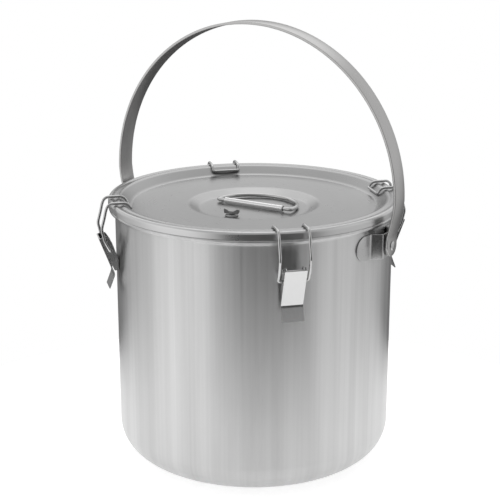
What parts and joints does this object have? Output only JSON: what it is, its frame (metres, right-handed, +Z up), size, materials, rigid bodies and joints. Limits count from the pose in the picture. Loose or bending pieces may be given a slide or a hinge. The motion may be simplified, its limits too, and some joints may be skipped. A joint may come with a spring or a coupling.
{
  "type": "clip-latched kettle",
  "caption": "Deep round stainless steel kettle with a pressed lid, over-centre rim latches, a folding ring handle on the lid and a flat strap bail.",
  "frame": {"origin": "centre of the flat base, on the surface that the kettle stands on", "axes": "+Z up out of the mouth, +X through the right-hand bail rivet, +Y to the back, away from the small vent valve on the lid"},
  "size_m": [0.3134, 0.285, 0.4288],
  "materials": {
    "satin_steel": "vertical satin brushing on drawn stainless sheet",
    "pressed_steel": "fine satin on pressed stainless sheet",
    "strap_steel": "lengthwise brushed flat strap",
    "bright_steel": "tumbled bright stainless, nearly mirror on flat faces",
    "seal": "matt food-grade silicone"
  },
  "bodies": {
    "kettle": {"pot_shell": "satin_steel", "ear_right": "satin_steel", "ear_left": "satin_steel", "bail_rivet_right": "bright_steel", "bail_rivet_left": "bright_steel", "bail_washer_right": "bright_steel", "bail_washer_left": "bright_steel", "latch_base_front_right": "bright_steel", "latch_base_front_left": "bright_steel", "latch_base_back_left": "bright_steel", "latch_base_back_right": "bright_steel", "latch_pin_front_right": "bright_steel", "latch_pin_front_left": "bright_steel", "latch_pin_back_left": "bright_steel", "latch_pin_back_right": "bright_steel"},
    "bail": {"bail_strap": "strap_steel"},
    "lid": {"lid_panel": "pressed_steel", "lid_gasket": "seal", "lid_handle_barrel": "bright_steel", "vent_seat": "bright_steel"},
    "lid_handle": {"lid_handle_ring": "bright_steel"},
    "vent_valve": {"vent_knob": "bright_steel", "vent_plug": "seal"},
    "lever_front_right": {"latch_lever_front_right": "bright_steel"},
    "hook_front_right": {"latch_hook_front_right": "bright_steel"},
    "lever_front_left": {"latch_lever_front_left": "bright_steel"},
    "hook_front_left": {"latch_hook_front_left": "bright_steel"},
    "lever_back_left": {"latch_lever_back_left": "bright_steel"},
    "hook_back_left": {"latch_hook_back_left": "bright_steel"},
    "lever_back_right": {"latch_lever_back_right": "bright_steel"},
    "hook_back_right": {"latch_hook_back_right": "bright_steel"}
  },
  "joints": [
    {"name": "bail_swing", "type": "hinge", "parent": "kettle", "child": "bail", "pos_m": [0, 0, 0.2302], "axis": [1, 0, 0], "range_deg": [-130, 130]},
    {"name": "lid_lift", "type": "slide", "parent": "kettle", "child": "lid", "axis": [0, 0, 1], "range_m": [0, 0.06]},
    {"name": "lid_handle_fold", "type": "hinge", "parent": "lid", "child": "lid_handle", "pos_m": [0, 0, 0.2502], "axis": [1, 0, 0], "range_deg": [0, 160]},
    {"name": "vent_turn", "type": "hinge", "parent": "lid", "child": "vent_valve", "pos_m": [-0.002, -0.038, 0.25], "axis": [0, 0, 1], "range_deg": [0, 90]},
    {"name": "lever_swing_front_right", "type": "hinge", "parent": "kettle", "child": "lever_front_right", "pos_m": [0.10501, -0.10501, 0.226], "axis": [-0.7071, -0.7071, 0], "range_deg": [0, 150]},
    {"name": "hook_swing_front_right", "type": "hinge", "parent": "lever_front_right", "child": "hook_front_right", "pos_m": [0.10226, -0.10226, 0.21571], "axis": [-0.7071, -0.7071, 0], "range_deg": [-210, 0], "deforming": ["latch_hook_front_right"]},
    {"name": "lever_swing_front_left", "type": "hinge", "parent": "kettle", "child": "lever_front_left", "pos_m": [-0.10501, -0.10501, 0.226], "axis": [-0.7071, 0.7071, 0], "range_deg": [0, 150]},
    {"name": "hook_swing_front_left", "type": "hinge", "parent": "lever_front_left", "child": "hook_front_left", "pos_m": [-0.10226, -0.10226, 0.21571], "axis": [-0.7071, 0.7071, 0], "range_deg": [-210, 0], "deforming": ["latch_hook_front_left"]},
    {"name": "lever_swing_back_left", "type": "hinge", "parent": "kettle", "child": "lever_back_left", "pos_m": [-0.10501, 0.10501, 0.226], "axis": [0.7071, 0.7071, 0], "range_deg": [0, 150]},
    {"name": "hook_swing_back_left", "type": "hinge", "parent": "lever_back_left", "child": "hook_back_left", "pos_m": [-0.10226, 0.10226, 0.21571], "axis": [0.7071, 0.7071, 0], "range_deg": [-210, 0], "deforming": ["latch_hook_back_left"]},
    {"name": "lever_swing_back_right", "type": "hinge", "parent": "kettle", "child": "lever_back_right", "pos_m": [0.10501, 0.10501, 0.226], "axis": [0.7071, -0.7071, 0], "range_deg": [0, 150]},
    {"name": "hook_swing_back_right", "type": "hinge", "parent": "lever_back_right", "child": "hook_back_right", "pos_m": [0.10226, 0.10226, 0.21571], "axis": [0.7071, -0.7071, 0], "range_deg": [-210, 0], "deforming": ["latch_hook_back_right"]}
  ],
  "couplings": [
    {"joint": "hook_swing_front_right", "follows": "lever_swing_front_right", "ratio": -1.4},
    {"joint": "hook_swing_front_left", "follows": "lever_swing_front_left", "ratio": -1.4},
    {"joint": "hook_swing_back_left", "follows": "lever_swing_back_left", "ratio": -1.4},
    {"joint": "hook_swing_back_right", "follows": "lever_swing_back_right", "ratio": -1.4}
  ]
}
